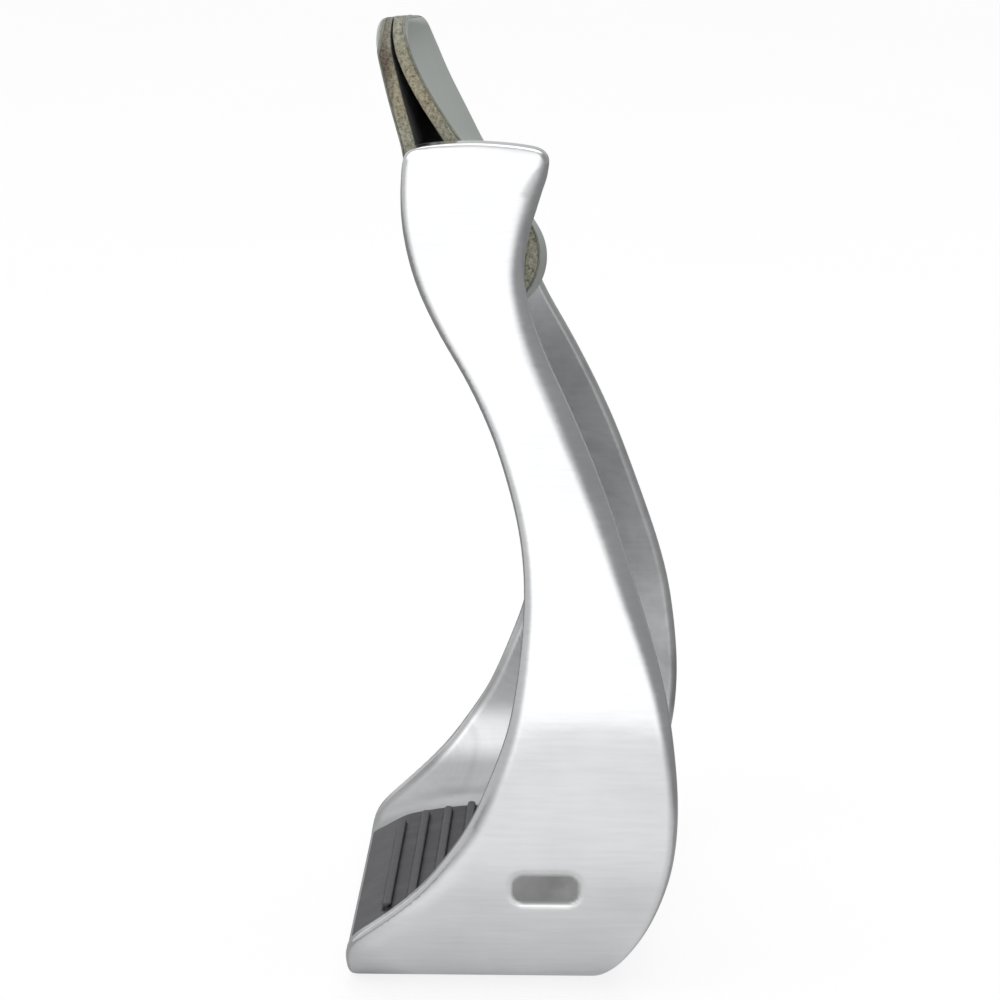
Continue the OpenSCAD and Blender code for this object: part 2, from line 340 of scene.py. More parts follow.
# ---------------------------------------------------------------- frame casting
H = 0.6
LO = np.array([-37.2, -69.0, -2.1])
HI = np.array([37.2, 69.0, 181.2])
gx, gy, gz = (np.arange(LO[k] - 3 * H, HI[k] + 4 * H, H) for k in range(3))
G0 = [g[0] for g in (gx, gy, gz)]
T_OUT = Table(signed_distance(ring_outline(FOOT, NEAR_TOP, FAR_TOP, 35), gy, gz), gy[0], gz[0], H)
T_IN = Table(signed_distance(ring_outline(FOOT_IN, NEAR_IN, FAR_IN, 40), gy, gz), gy[0], gz[0], H)
T_NEAR = Table(signed_distance(side_outline(False), gx, gz), gx[0], gz[0], H)
T_FAR = Table(signed_distance(side_outline(True), gx, gz), gx[0], gz[0], H)

ZB = np.array([0, 10, 15, 20, 26, 32, 40, 50, 60, 70, 80, 90, 100, 110, 120, 130, 140, 150, 160, 170, 180.0])
XB = np.array([-35, -35, -30.8, -24.7, -18.4, -13.7, -8.4, -4, -0.4, 1.5, 2.6, 2.9, 1.8, -0.8, -4.4, -9.4, -15.5, -20.3, -22.9, -23.5, -23])
XF = np.array([18, 25.2, 28.1, 30.4, 32.6, 34.1, 35, 34.8, 33.8, 31.8, 29, 25.8, 22.4, 18.7, 14.3, 9.4, 5, 2.4, 3.3, 6.5, 7.5])
PEG_X, PEG_Y, PEG_L = (-18.6, 3.0), (-27.0, 27.0), 6.0


def crown(x):
    m, hw = -5.3, 29.7
    return 9 + 5 * (1 - ((x - m) / hw) ** 2)


def edge_zone(x, y, z):
    """Share 0..1 from the back edge of the side outline to its front edge, and the height before the inner side's lowering."""
    zn = z + np.where(y > 0, drop(z), 0)
    xb, xf = np.interp(zn, ZB, XB), np.interp(zn, ZB, XF)
    return smoothstep((x - xb) / (xf - xb) * 1.6 - 0.3), zn


def round_edges(fo, fs, x, y, z):
    """The polished bevel and soft edges round the outer faces."""
    u, zn = edge_zone(x, y, z)
    # bevel width as seen from outside, along the front and the back of the legs
    wf = np.interp(zn, [0, 14, 28, 38, 46, 56, 68, 90, 118, 136, 146, 158, 168, 175], [0.2, 0.5, 0.7, 0.8, 0.9, 1.1, 1.3, 2.0, 2.3, 2.1, 1.8, 1.9, 2.2, 1.2])
    wb = np.interp(zn, [0, 8, 16, 40, 62, 90, 150, 172, 176], [0.4, 1.7, 2.0, 1.6, 0.9, 0.6, 0.7, 0.5, 0.5])
    w = wb + (wf - wb) * u
    bevel = 0.82 * fo + 0.57 * fs + 0.57 * w
    r1 = 0.5 + 0.62 * w
    r2 = np.interp(zn, [0, 6, 20, 60, 176], [1.1, 1.0, 0.8, 0.7, 0.7])
    return rmax(rmax(fo, bevel, r1), fs, r2)


def panel2d(x, z):
    """A plain blank recess with round ends."""
    qx, qz = np.maximum(np.abs(x - 7.6) - 4.4, 0), np.maximum(np.abs(z - 26.6) - 0.6, 0)
    return np.hypot(qx, qz) - 3.4


def combine(x, y, z, fo, fi, fs):
    # the polished outer faces fall away a little towards their edges
    fall = np.interp(z, [0, 14, 40, 100, 178], [0.0, 0.25, 0.8, 0.8, 0.35]) * np.clip(1 + fs / 13.0, 0, 1) ** 2
    fo = fo + fall
    body = round_edges(fo, fs, x, y, z)
    ins = smin(-fi, z - crown(x), np.clip((crown(x) - 7.0) * 0.9, 0.6, 5.0))
    f = rmax(body, ins, np.interp(z, [0, 12, 20, 60, 120, 180], [1.3, 1.4, 1.9, 1.7, 1.4, 1.0]))
    return f, fo


def low_features(f, x, y, z):
    for px in PEG_X:
        for py in PEG_Y:
            r = np.hypot(x - px, y - py)
            top = crown(px)
            f = rmax(f, -np.maximum(r - 4.2, z - 4.2), 0.3)
            f = np.maximum(f, -np.maximum(r - 2.25, z - 12))
            f = np.maximum(f, -np.maximum(r - 5.05, np.maximum(top - PEG_L - 0.3 - z, z - top - 4)))
    return f


def panel_feature(f, fo, x, y, z):
    depth = 0.6 * smoothstep((0.7 - panel2d(x, z)) / 1.6)
    return np.where(y < -20, np.maximum(f, fo + depth), f)


def neck_features(f, x, y, z):
    px, py, pz = x - BAR[0], y - BAR[1], z - BAR[2]
    yl = py * AY[1] + pz * AY[2]
    zl = py * AZ[1] + pz * AZ[2]
    r = np.hypot(px, zl)
    e = 31.9
    near = rmax(r - 8.0, np.abs(yl + (35.5 + e) / 2) - (35.5 - e) / 2, 0.5)
    far = rmax(r - 8.0, np.abs(yl - (38.6 + e) / 2) - (38.6 - e) / 2, 0.5)
    f = smin(f, near, 1.6)
    f = smin(f, far, 1.6)
    # the faces that the bushes bear on stay flat and clear
    f = rmax(f, -np.maximum(r - 12.5, np.abs(yl) - e), 0.25)
    f = rmax(f, -np.maximum(r - 4.0, np.abs(yl + 34.0) - 4.2), 0.3)
    f = rmax(f, -np.maximum(r - 4.2, np.abs(yl - 38.0) - 8.0), 0.3)
    f = rmax(f, -np.maximum(r - 9.2, 39.6 - yl), 0.5)
    return f


def F_frame(p):
    x, y, z = p[:, 0], p[:, 1], p[:, 2]
    fs = np.where(y < 0, T_NEAR(x, z), T_FAR(x, z))
    f, fo = combine(x, y, z, T_OUT(y, z), T_IN(y, z), fs)
    m = z < 18
    if m.any():
        f = f.copy()
        f[m] = low_features(f[m], x[m], y[m], z[m])
    m = (z > 17) & (z < 33) & (y < -20)
    if m.any():
        f[m] = panel_feature(f[m], fo[m], x[m], y[m], z[m])
    m = z > 128
    if m.any():
        f[m] = neck_features(f[m], x[m], y[m], z[m])
    return f


def grid_frame(ax):
    """F_frame on the tables' own grid, by broadcasting."""
    x, y, z = gx[:, None, None], gy[None, :, None], gz[None, None, :]
    f = np.empty((len(gx), len(gy), len(gz)), np.float32)
    half = len(gy) // 2
    for j0 in range(0, len(gy), 24):
        j1 = min(len(gy), j0 + 24)
        yy = y[:, j0:j1]
        fs = np.where(yy < 0, T_NEAR.f[:, None, :], T_FAR.f[:, None, :])
        xx, zz, yb = np.broadcast_arrays(x, z, yy)
        g, fo = combine(xx, yb, zz, np.broadcast_to(T_OUT.f[None, j0:j1, :], fs.shape), np.broadcast_to(T_IN.f[None, j0:j1, :], fs.shape), fs)
        g = np.array(g)
        k = np.searchsorted(gz, 18)
        g[:, :, :k] = low_features(g[:, :, :k], xx[:, :, :k], yb[:, :, :k], zz[:, :, :k])
        if gy[j0] < -20:
            a, b = np.searchsorted(gz, 17), np.searchsorted(gz, 33)
            g[:, :, a:b] = panel_feature(g[:, :, a:b], fo[:, :, a:b], xx[:, :, a:b], yb[:, :, a:b], zz[:, :, a:b])
        k = np.searchsorted(gz, 128)
        g[:, :, k:] = neck_features(g[:, :, k:], xx[:, :, k:], yb[:, :, k:], zz[:, :, k:])
        f[:, j0:j1, :] = g
    return f


def build_frame():
    f = grid_frame(None)
    v, q = surface_nets(f, np.array(G0), H)
    v, nrm = fit_to(F_frame, v, q, H, relax=3)
    v[:, 2] = np.maximum(v[:, 2], 0.0)
    return make_mesh("frame_casting", v, q, nrm)


casting = build_frame()
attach(casting, "frame")
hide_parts("stirrup_frame")

# ---------------------------------------------------------------- tread pad
PAD_X, PAD_W, PAD_L, PAD_T = -5.3, 57.8, 85.0, 2.2
RIB_X, RIB_N, RIB_PITCH, RIB_W, RIB_H = -6.5, 9, 5.15, 2.0, 1.4
RIB_HALF = (34.3, 37.8, 38.6, 41.0)


def pad_lift(x):
    return 0.4 + (PAD_T - 0.4) * smoothstep((PAD_W / 2 - np.abs(x - PAD_X)) / 9)


def F_pad(p):
    x, y, z = p[:, 0], p[:, 1], p[:, 2]
    lift = z - crown(x)
    qx, qy = np.abs(x - PAD_X) - PAD_W / 2 + 1.6, np.abs(y) - PAD_L / 2 + 1.6
    plan = np.hypot(np.maximum(qx, 0), np.maximum(qy, 0)) + np.minimum(np.maximum(qx, qy), 0) - 1.6
    f = np.maximum(rmax(plan, lift - pad_lift(x), 0.45), -0.35 - lift)
    for i in range(RIB_N):
        rx = RIB_X + (i - (RIB_N - 1) / 2) * RIB_PITCH
        ln = 2 * RIB_HALF[min(i, RIB_N - 1 - i, 3)]
        ly = np.maximum(np.abs(y) - (ln - RIB_W) / 2, 0)
        # the ribs taper slightly and their tops follow the crown
        d = np.hypot(x - rx, ly) - RIB_W / 2 + 0.12 * np.clip(lift - PAD_T, 0, 2)
        zt = crown(rx) + pad_lift(rx) + RIB_H
        rib = rmax(rmax(d, z - zt, 0.4), crown(rx) + 0.2 - z, 0.1)
        f = smin(f, rib, 0.3)
    for px in PEG_X:
        for py in PEG_Y:
            top = crown(px)
            f = np.minimum(f, np.maximum(np.hypot(x - px, y - py) - 4.98, np.maximum(top - PEG_L + 0.05 - z, z - top - 1)))
    return f


pad = sdf_piece("rubber_pad", F_pad, [-35.4, -43.8, 6.0], [25.0, 43.8, 19.0], 0.33, relax=1)
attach(pad, "frame")
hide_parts("tread_pad")

# ---------------------------------------------------------------- leather loop
CORE_T, FACE_T, LEATHER_W = 2.6, 0.5, 62.4
LT = CORE_T + FACE_T
LOOP_R = 9.3 + 0.1 + LT / 2
BACK_PLY = [(-20.6, 49.5), (-20.8, 46), (-20.4, 42), (-19.5, 38), (-18.3, 33.2), (-16.9, 28.2), (-15.4, 23)]
FRONT_NEAR = [(-6.3, 24), (-8.9, 28), (-11.5, 32), (-13.8, 36), (-15.7, 40), (-16.9, 43.5), (-17.3, 46.5), (-17.3, 49.7)]
# at the inner end the strip was cut longer, and the front ply stands further forward
FRONT_FAR = [(-3.4, 25.4), (-5.7, 30.0), (-8.0, 34.5), (-10.3, 39.0), (-12.3, 43.4), (-14.0, 47.6), (-15.0, 50.6), (-15.4, 53.3)]
BACK_FAR = [(-18.7, 53.2), (-18.4, 49.5), (-17.6, 45.5), (-16.3, 41), (-14.7, 36), (-13.1, 31), (-11.8, 26.5), (-11.1, 22)]


def loop_path(back_ply, front):
    bp, fp = np.array(back_ply, float), np.array(front, float)
    ta = math.atan2(bp[-1, 1], bp[-1, 0]) + math.acos(LOOP_R / np.hypot(*bp[-1]))
    tb = math.atan2(fp[0, 1], fp[0, 0]) - math.acos(LOOP_R / np.hypot(*fp[0])) + 2 * math.pi
    arc = [(LOOP_R * math.cos(ta + (tb - ta) * i / 60), LOOP_R * math.sin(ta + (tb - ta) * i / 60)) for i in range(61)]
    whole = np.vstack([cr_curve(back_ply, 8), arc, cr_curve(front, 8)])
    return soften(whole, 1.0, 0.25)


def loop_sections():
    near, far = loop_path(BACK_PLY, FRONT_NEAR), loop_path(BACK_FAR, FRONT_FAR)
    n = 260
    rs = lambda p: np.stack([np.interp(np.linspace(0, 1, n), np.r_[0, np.cumsum(np.hypot(*np.diff(p, axis=0).T))] / np.hypot(*np.diff(p, axis=0).T).sum(), p[:, k]) for k in range(2)], 1)
    return rs(near), rs(far)


NEAR_P, FAR_P = loop_sections()


def path_at(u, w):
    """Centre line point and outward normal at path share u in 0..1 and width share w in 0..1 (near to far)."""
    n = len(NEAR_P)
    t = np.clip(u, 0, 1) * (n - 1)
    P = lambda tt: np.stack([(1 - w) * np.interp(tt, np.arange(n), NEAR_P[:, k]) + w * np.interp(tt, np.arange(n), FAR_P[:, k]) for k in range(2)], -1)
    c = P(t)
    d = P(np.minimum(t + 0.5, n - 1)) - P(np.maximum(t - 0.5, 0))
    d /= np.linalg.norm(d, axis=-1, keepdims=True)
    return c, np.stack([d[..., 1], -d[..., 0]], -1)


PATH_LEN = np.hypot(*np.diff(NEAR_P, axis=0).T).sum()


def value_noise(p, scale, seed):
    """Smooth 3-D value noise in -1..1."""
    r = np.random.default_rng(seed)
    lat = r.uniform(-1, 1, (32, 32, 32))
    q = np.asarray(p, float) / scale
    i = np.floor(q).astype(int)
    t = smoothstep(q - i)
    out = 0
    for a in (0, 1):
        for b in (0, 1):
            for c in (0, 1):
                wgt = (t[..., 0] if a else 1 - t[..., 0]) * (t[..., 1] if b else 1 - t[..., 1]) * (t[..., 2] if c else 1 - t[..., 2])
                out = out + wgt * lat[(i[..., 0] + a) % 32, (i[..., 1] + b) % 32, (i[..., 2] + c) % 32]
    return out


def strap(name, lo, hi, width, corner, edge_r, n_u, n_v, n_e, fuzz):
    """A strip of leather from offset lo to hi about the loop's centre line, with rounded end corners and soft edges."""
    hw = width / 2
    # rows along the strip, closer together at its two ends
    su = np.linspace(0, 1, n_u)
    su = 0.3 * (0.5 - 0.5 * np.cos(math.pi * su)) + 0.7 * su
    # columns across the width, closer together near the edges
    sv = 0.5 - 0.5 * np.cos(np.linspace(0, math.pi, n_v))
    sv = 0.35 * sv + 0.65 * np.linspace(0, 1, n_v)
    U, V = np.meshgrid(su, sv, indexing="ij")

    def plan(inset):
        """(path length, y) for each grid point of an outline pulled in by inset."""
        y = (V * 2 - 1) * (hw - inset)
        over = np.maximum(np.abs(y) - (hw - corner), 0)
        c = max(corner - inset, 0.01)
        cut = corner - np.sqrt(np.maximum(c * c - np.minimum(over, c) ** 2, 0))
        s = cut + U * (PATH_LEN - 2 * cut)
        return s, y

    def place(s, y, off):
        c, nrm = path_at(s / PATH_LEN, (y + hw) / (2 * hw))
        # the ends are skived: the outside rounds over towards the flesh side
        over = np.maximum(np.abs(y) - (hw - corner), 0)
        cut = corner - np.sqrt(np.maximum(corner ** 2 - np.minimum(over, corner) ** 2, 0))
        w = (y + hw) / (2 * hw)
        skive = np.where(s > PATH_LEN / 2, 1.3 + 1.7 * w, 2.4 + 0.4 * w)
        d = np.clip(np.minimum(s - cut, PATH_LEN - cut - s) / skive, 0, 1)
        fall = skive * 0.86 * (1 - np.sqrt(np.maximum(1 - (1 - d) ** 2, 0)))
        off = off - fall * (off + LT / 2) / LT
        q = c + nrm * off[..., None]
        return from_neck(np.stack([q[..., 0], y, q[..., 1]], -1))

    verts, faces = [], []
    levels = []
    for e in range(n_e + 1):
        a = math.pi * e / n_e
        t = 0.5 - 0.5 * math.cos(a)  # 0 at lo, 1 at hi
        thick = hi - lo
        dist = min(t, 1 - t) * thick
        inset = edge_r - math.sqrt(max(edge_r ** 2 - max(edge_r - dist, 0) ** 2, 0))
        levels.append((lo + t * thick, inset))
    rim = [(i, 0) for i in range(n_u)] + [(n_u - 1, j) for j in range(1, n_v)] + [(i, n_v - 1) for i in range(n_u - 2, -1, -1)] + [(0, j) for j in range(n_v - 2, 0, -1)]
    ri, rj = np.array([r[0] for r in rim]), np.array([r[1] for r in rim])
    s0, y0 = plan(levels[0][1])
    s1, y1 = plan(levels[-1][1])
    bottom = place(s0, y0, np.full(s0.shape, lo)).reshape(-1, 3)
    top = place(s1, y1, np.full(s1.shape, hi)).reshape(-1, 3)
    nb = n_u * n_v
    idx = np.arange(nb).reshape(n_u, n_v)
    verts = [bottom, top]
    q = np.stack([idx[:-1, :-1], idx[1:, :-1], idx[1:, 1:], idx[:-1, 1:]], -1).reshape(-1, 4)
    faces = [q[:, ::-1], q + nb]
    prev = idx[ri, rj]
    base = 2 * nb
    for e in range(1, n_e):
        off, inset = levels[e]
        s, y = plan(inset)
        s, y = s[ri, rj], y[ri, rj]
        p = place(s, y, np.full(s.shape, off))
        if fuzz:
            # the fibres of the cut edge
            c = place(np.clip(s, 2, PATH_LEN - 2), y * (1 - 2 / hw), np.full(s.shape, off))
            d = p - c
            d /= np.maximum(np.linalg.norm(d, axis=1), 1e-6)[:, None]
            amp = fuzz * (0.5 * value_noise(p, 0.9, 3) + 0.5 * value_noise(p, 0.42, 5)) * math.sin(math.pi * e / n_e)
            p = p + d * (np.minimum(amp, 0.3 * fuzz))[:, None]
        verts.append(p)
        cur = base + np.arange(len(rim))
        base += len(rim)
        nx = np.roll(np.arange(len(rim)), -1)
        faces.append(np.stack([prev, prev[nx], cur[nx], cur], 1)[:, ::-1])
        prev = cur
    cur = idx[ri, rj] + nb
    nx = np.roll(np.arange(len(rim)), -1)
    faces.append(np.stack([prev, prev[nx], cur[nx], cur], 1)[:, ::-1])
    ob = make_mesh(name, np.vstack(verts), np.vstack(faces))
    kind = np.zeros(len(ob.data.vertices), np.float32)
    kind[2 * nb:] = 1.0
    kind[idx[ri, rj]] = 1.0
    ob.data.attributes.new("cut", "FLOAT", "POINT").data.foreach_set("value", kind)
    return ob


core = strap("leather_core", -LT / 2, LT / 2 - FACE_T - 0.01, LEATHER_W - 0.3, 7.0, 0.35, 620, 70, 8, 0.28)
face = strap("leather_face", LT / 2 - FACE_T + 0.01, LT / 2, LEATHER_W - 0.5, 7.0, 0.38, 460, 60, 6, 0.0)
for ob, node, slot in ((core, "neck_leather", "leather_core"), (face, "leather_facing", "leather_face")):
    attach(ob, "leather")
    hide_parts(node)

# ---------------------------------------------------------------- materials
def new_material(name):
    m = bpy.data.materials.new(name)
    m.use_nodes = True
    nt = m.node_tree
    nt.nodes.clear()
    out = nt.nodes.new("ShaderNodeOutputMaterial")
    bsdf = nt.nodes.new("ShaderNodeBsdfPrincipled")
    nt.links.new(bsdf.outputs["BSDF"], out.inputs["Surface"])
    return m, nt, bsdf


def node(nt, kind, **kw):
    n = nt.nodes.new(kind)
    for k, v in kw.items():
        if k.startswith("in_"):
            n.inputs[k[3:].replace("_", " ")].default_value = v
        else:
            setattr(n, k, v)
    return n


def coords(nt, scale=(1, 1, 1), rot=(0, 0, 0)):
    tc = nt.nodes.new("ShaderNodeTexCoord")
    mp = nt.nodes.new("ShaderNodeMapping")
    mp.inputs["Scale"].default_value = scale
    mp.inputs["Rotation"].default_value = rot
    nt.links.new(tc.outputs["Object"], mp.inputs["Vector"])
    return mp.outputs["Vector"]


def noise(nt, vec, scale, detail=4.0, rough=0.5, dist=0.0):
    n = nt.nodes.new("ShaderNodeTexNoise")
    n.inputs["Scale"].default_value = scale
    n.inputs["Detail"].default_value = detail
    n.inputs["Roughness"].default_value = rough
    n.inputs["Distortion"].default_value = dist
    nt.links.new(vec, n.inputs["Vector"])
    return n.outputs["Fac"]


def ramp(nt, fac, stops):
    r = nt.nodes.new("ShaderNodeValToRGB")
    e = r.color_ramp.elements
    while len(e) > 1:
        e.remove(e[-1])
    e[0].position, e[0].color = stops[0][0], (*stops[0][1], 1)
    for pos, col in stops[1:]:
        x = e.new(pos)
        x.color = (*col, 1)
    nt.links.new(fac, r.inputs["Fac"])
    return r.outputs["Color"]


def grey(v):
    return (v, v, v)


def math_node(nt, op, a, b=None, clamp=False):
    n = nt.nodes.new("ShaderNodeMath")
    n.operation = op
    n.use_clamp = clamp
    for i, v in enumerate((a, b)):
        if v is None:
            continue
        if isinstance(v, (int, float)):
            n.inputs[i].default_value = v
        else:
            nt.links.new(v, n.inputs[i])
    return n.outputs[0]


def mix(nt, fac, a, b, mode="MIX"):
    n = nt.nodes.new("ShaderNodeMix")
    n.data_type = "RGBA"
    n.blend_type = mode
    for sock, v in ((n.inputs[0], fac), (n.inputs[6], a), (n.inputs[7], b)):
        if isinstance(v, (int, float)):
            sock.default_value = v
        elif isinstance(v, tuple):
            sock.default_value = (*v, 1)
        else:
            nt.links.new(v, sock)
    return n.outputs[2]


def bump(nt, bsdf, height, strength, distance, under=None):
    b = nt.nodes.new("ShaderNodeBump")
    b.inputs["Strength"].default_value = strength
    b.inputs["Distance"].default_value = distance
    nt.links.new(height, b.inputs["Height"])
    if under is not None:
        nt.links.new(under, b.inputs["Normal"])
    nt.links.new(b.outputs["Normal"], bsdf.inputs["Normal"])
    return b.outputs["Normal"]


def polished_aluminium():
    m, nt, b = new_material("polished_aluminium")
    b.inputs["Metallic"].default_value = 1.0
    v = coords(nt)
    streak = noise(nt, coords(nt, (0.06, 0.8, 1.0), (0.0, 0.12, 0.0)), 1100, 3, 0.6)
    cross = noise(nt, coords(nt, (0.7, 0.7, 0.05), (0.1, 0.25, 0.0)), 1500, 2, 0.5)
    cloud = noise(nt, v, 42, 4, 0.55, 0.5)
    cloud2 = noise(nt, v, 130, 3, 0.5, 0.3)
    tone = ramp(nt, cloud, [(0.3, (0.82, 0.83, 0.845)), (0.7, (0.90, 0.905, 0.915))])
    inn = nt.nodes.new("ShaderNodeAttribute")
    inn.attribute_name = "inner"
    dull = ramp(nt, noise(nt, v, 55, 5, 0.6, 0.6), [(0.28, (0.68, 0.69, 0.70)), (0.50, (0.88, 0.89, 0.90)), (0.70, (0.96, 0.965, 0.97))])
    tone = mix(nt, inn.outputs["Fac"], tone, dull)
    # painted shade: the inner faces are darkened low down and in a band higher up, leaving a painted highlight band
    # between
    shade_band = nt.nodes.new("ShaderNodeAttribute")
    shade_band.attribute_name = "painted_shade_inside"
    tone = mix(nt, shade_band.outputs["Fac"], tone, mix(nt, 1.0, dull, grey(0.60), "MULTIPLY"))
    tone = mix(nt, 0.16, tone, ramp(nt, streak, [(0.35, grey(0.72)), (0.65, grey(1.0))]), "MULTIPLY")
    at = nt.nodes.new("ShaderNodeAttribute")
    at.attribute_name = "as_cast"
    tone = mix(nt, at.outputs["Fac"], tone, ramp(nt, cloud2, [(0.3, grey(0.30)), (0.7, grey(0.44))]))
    nt.links.new(tone, b.inputs["Base Color"])
    r = math_node(nt, "MULTIPLY_ADD", cloud, 0.12)
    nt.nodes[-1].inputs[2].default_value = 0.11
    r2 = math_node(nt, "MULTIPLY_ADD", streak, 0.06)
    nt.nodes[-1].inputs[2].default_value = -0.02
    r3 = math_node(nt, "MULTIPLY", at.outputs["Fac"], 0.35)
    r4 = math_node(nt, "ADD", math_node(nt, "MULTIPLY", inn.outputs["Fac"], 0.15), math_node(nt, "MULTIPLY", shade_band.outputs["Fac"], 0.12))
    nt.links.new(math_node(nt, "ADD", math_node(nt, "ADD", math_node(nt, "ADD", r, r2), r3), r4, True), b.inputs["Roughness"])
    n1 = bump(nt, b, cloud, 0.28, 0.0004)
    n2 = bump(nt, b, cloud2, 0.12, 0.0002, n1)
    n3 = bump(nt, b, streak, 0.02, 0.00002, n2)
    bump(nt, b, cross, 0.015, 0.00001, n3)
    return m


def rubber():
    m, nt, b = new_material("moulded_rubber")
    v = coords(nt)
    n1 = noise(nt, v, 160, 5, 0.6)
    n2 = noise(nt, v, 1600, 3, 0.6)
    col = ramp(nt, n1, [(0.3, (0.066, 0.066, 0.071)), (0.7, (0.112, 0.112, 0.121))])
    shade_attr = nt.nodes.new("ShaderNodeAttribute")
    shade_attr.attribute_name = "painted_rib_shade"
    # painted shade: the rubber goes near-black along the feet of the ribs and darker on the floor between them
    col = mix(nt, shade_attr.outputs["Fac"], col, (0.010, 0.010, 0.011))
    nt.links.new(mix(nt, 0.3, col, ramp(nt, n2, [(0.35, grey(0.55)), (0.65, grey(1.0))]), "MULTIPLY"), b.inputs["Base Color"])
    nt.links.new(ramp(nt, n1, [(0.3, grey(0.42)), (0.7, grey(0.62))]), b.inputs["Roughness"])
    n = bump(nt, b, n1, 0.2, 0.0003)
    bump(nt, b, n2, 0.35, 0.00006, n)
    return m


def leather_core_mat():
    m, nt, b = new_material("leather_cut_edge")
    v = coords(nt)
    fibre = noise(nt, coords(nt, (1, 1, 1)), 2600, 4, 0.75)
    tuft = noise(nt, v, 1900, 6, 0.72, 0.2)
    blotch = noise(nt, v, 90, 3, 0.6)
    olive = ramp(nt, tuft, [(0.28, (0.10, 0.10, 0.062)), (0.42, (0.36, 0.355, 0.255)), (0.58, (0.58, 0.575, 0.46)), (0.74, (0.80, 0.80, 0.68))])
    brown = ramp(nt, tuft, [(0.28, (0.04, 0.030, 0.020)), (0.44, (0.12, 0.092, 0.066)), (0.60, (0.25, 0.20, 0.15)), (0.76, (0.42, 0.365, 0.29))])
    sp = nt.nodes.new("ShaderNodeSeparateXYZ")
    nt.links.new(v, sp.inputs[0])
    # the back ply is the browner of the two, and more so towards its top
    backward = math_node(nt, "MULTIPLY_ADD", sp.outputs[0], -330.0)
    nt.nodes[-1].inputs[2].default_value = -8.1
    high = math_node(nt, "MULTIPLY_ADD", sp.outputs[2], 140.0)
    nt.nodes[-1].inputs[2].default_value = -24.9
    w = math_node(nt, "MULTIPLY", math_node(nt, "ADD", backward, 0.0, True), math_node(nt, "ADD", high, 0.0, True))
    w = math_node(nt, "ADD", math_node(nt, "MULTIPLY", w, 0.95), math_node(nt, "MULTIPLY", math_node(nt, "SUBTRACT", blotch, 0.48), 1.8), True)
    col = mix(nt, w, olive, brown)
    # a tan patch halfway up the front ply
    forward = math_node(nt, "MULTIPLY_ADD", sp.outputs[0], 330.0)
    nt.nodes[-1].inputs[2].default_value = 9.1
    offset = math_node(nt, "ABSOLUTE", math_node(nt, "SUBTRACT", sp.outputs[2], 0.190), 0.0)
    band = math_node(nt, "MULTIPLY_ADD", offset, -110.0)
    nt.nodes[-1].inputs[2].default_value = 1.1
    band = math_node(nt, "MULTIPLY", math_node(nt, "ADD", band, 0.0, True), math_node(nt, "ADD", forward, 0.0, True))
    band = math_node(nt, "MULTIPLY", band, ramp(nt, noise(nt, v, 160, 3, 0.6), [(0.38, grey(0.40)), (0.60, grey(0.85))]))
    col = mix(nt, band, col, mix(nt, 1.0, col, (1.0, 0.80, 0.62), "MULTIPLY"))
    speck = noise(nt, v, 1150, 3, 0.65, 0.2)
    col = mix(nt, 0.85, col, ramp(nt, speck, [(0.36, grey(0.38)), (0.46, grey(1.0))]), "MULTIPLY")
    # the flesh side, towards the roller and between the plies, is coloured near-black
    geo = nt.nodes.new("ShaderNodeAttribute")
    geo.attribute_name = "flesh"
    col = mix(nt, geo.outputs["Fac"], col, (0.012, 0.012, 0.013))
    nt.links.new(col, b.inputs["Base Color"])
    b.inputs["Roughness"].default_value = 0.85
    b.inputs["Sheen Weight"].default_value = 0.35
    n = bump(nt, b, tuft, 0.9, 0.0005)
    bump(nt, b, fibre, 0.6, 0.0002, n)
    return m


def leather_face_mat():
    m, nt, b = new_material("leather_facing")
    v = coords(nt)
    grain = nt.nodes.new("ShaderNodeTexVoronoi")
    grain.feature = "SMOOTH_F1"
    grain.inputs["Scale"].default_value = 1500
    nt.links.new(v, grain.inputs["Vector"])
    n1 = noise(nt, v, 60, 4, 0.55)
    n2 = noise(nt, v, 700, 4, 0.6)
    col = ramp(nt, n1, [(0.3, (0.55, 0.61, 0.57)), (0.7, (0.62, 0.67, 0.635))])
    col = mix(nt, 0.12, col, ramp(nt, n2, [(0.3, grey(0.6)), (0.7, grey(1.0))]), "MULTIPLY")
    cut = nt.nodes.new("ShaderNodeAttribute")
    cut.attribute_name = "cut"
    col = mix(nt, math_node(nt, "MULTIPLY", cut.outputs["Fac"], 0.85), col, ramp(nt, n2, [(0.35, (0.12, 0.12, 0.09)), (0.65, (0.27, 0.26, 0.20))]))
    nt.links.new(col, b.inputs["Base Color"])
    nt.links.new(ramp(nt, n1, [(0.3, grey(0.34)), (0.7, grey(0.46))]), b.inputs["Roughness"])
    b.inputs["Coat Weight"].default_value = 0.12
    b.inputs["Coat Roughness"].default_value = 0.3
    n = bump(nt, b, grain.outputs["Distance"], 0.12, 0.00008)
    bump(nt, b, n2, 0.08, 0.0001, n)
    return m


def steel(name, base, rough, scale=(1, 1, 1)):
    m, nt, b = new_material(name)
    b.inputs["Metallic"].default_value = 1.0
    streak = noise(nt, coords(nt, scale), 1500, 3, 0.6)
    patch = noise(nt, coords(nt), 120, 4, 0.6)
    col = ramp(nt, patch, [(0.3, tuple(c * 0.82 for c in base)), (0.7, base)])
    nt.links.new(mix(nt, 0.3, col, ramp(nt, streak, [(0.35, grey(0.6)), (0.65, grey(1.0))]), "MULTIPLY"), b.inputs["Base Color"])
    nt.links.new(ramp(nt, streak, [(0.3, grey(rough * 0.7)), (0.7, grey(rough * 1.35))]), b.inputs["Roughness"])
    bump(nt, b, streak, 0.15, 0.00003)
    return m


